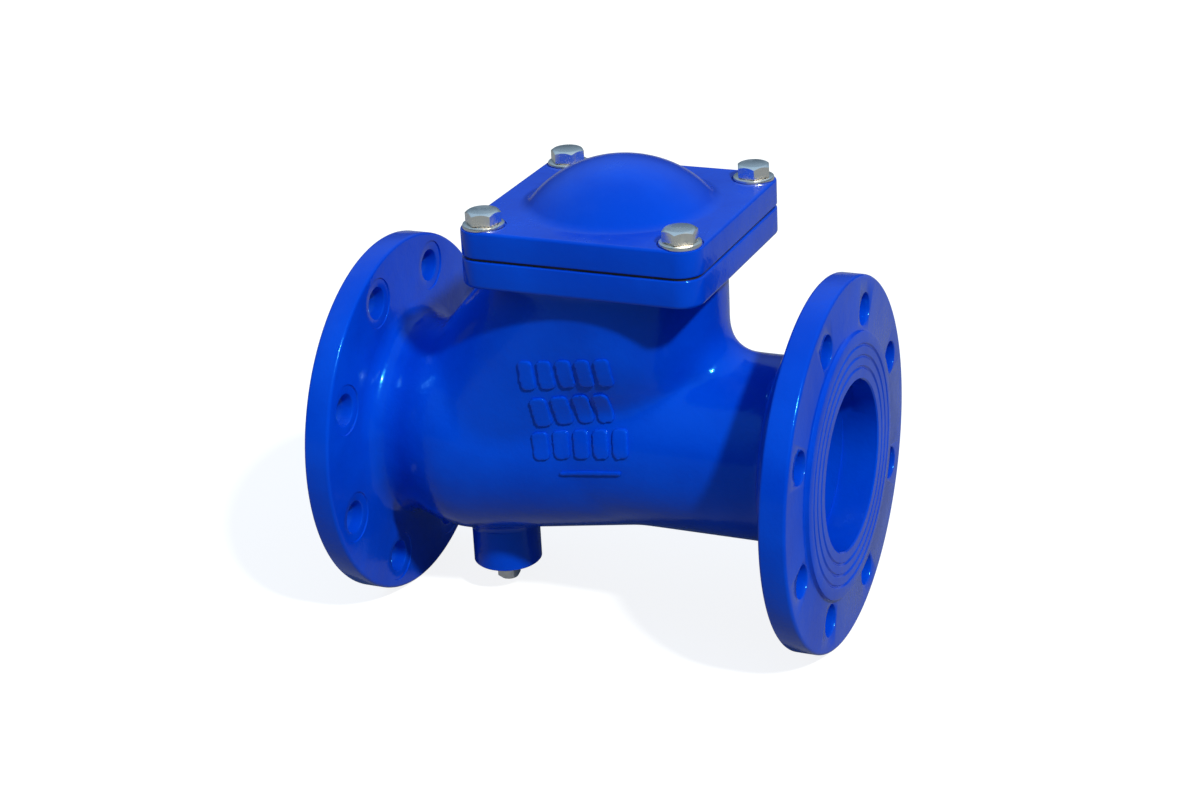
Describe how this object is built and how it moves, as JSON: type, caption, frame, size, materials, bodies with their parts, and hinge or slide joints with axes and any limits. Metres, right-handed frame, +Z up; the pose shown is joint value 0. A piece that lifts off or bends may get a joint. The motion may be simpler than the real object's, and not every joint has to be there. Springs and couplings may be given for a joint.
{
  "type": "ball check valve",
  "caption": "Flanged ball check valve: a rubber-coated ball rolls off a tilted seat into an inclined chamber under a bolted domed cover.",
  "frame": {"origin": "centre of the inlet bore's mouth, in the plane of the inlet's raised face", "axes": "+X along the pipe from inlet to outlet, +Z up to the domed cover, +Y across"},
  "size_m": [0.3, 0.22, 0.2835],
  "materials": {
    "blue_epoxy": "gloss epoxy coat on cast iron",
    "black_rubber": "matt",
    "ball_rubber": "smooth satin",
    "bronze": "machined",
    "core_steel": "plain",
    "zinc_steel": "bright zinc plate",
    "white_tape": "matt"
  },
  "bodies": {
    "valve_body": {"body": "blue_epoxy", "cover": "blue_epoxy", "cover_gasket": "black_rubber", "seat_ring": "bronze", "seat_o_ring": "black_rubber", "drain_plug": "zinc_steel", "plug_thread_tape": "white_tape", "cover_bolt_1": "zinc_steel", "bolt_washer_1": "zinc_steel", "cover_bolt_2": "zinc_steel", "bolt_washer_2": "zinc_steel", "cover_bolt_3": "zinc_steel", "bolt_washer_3": "zinc_steel", "cover_bolt_4": "zinc_steel", "bolt_washer_4": "zinc_steel"},
    "ball": {"ball_rubber": "ball_rubber", "ball_core_upper": "core_steel", "ball_core_lower": "core_steel", "ball_backing_ring": "core_steel"}
  },
  "joints": [
    {"name": "ball_lift", "type": "slide", "parent": "valve_body", "child": "ball", "axis": [0.6632, 0, 0.7484], "range_m": [0, 0.1347]}
  ]
}
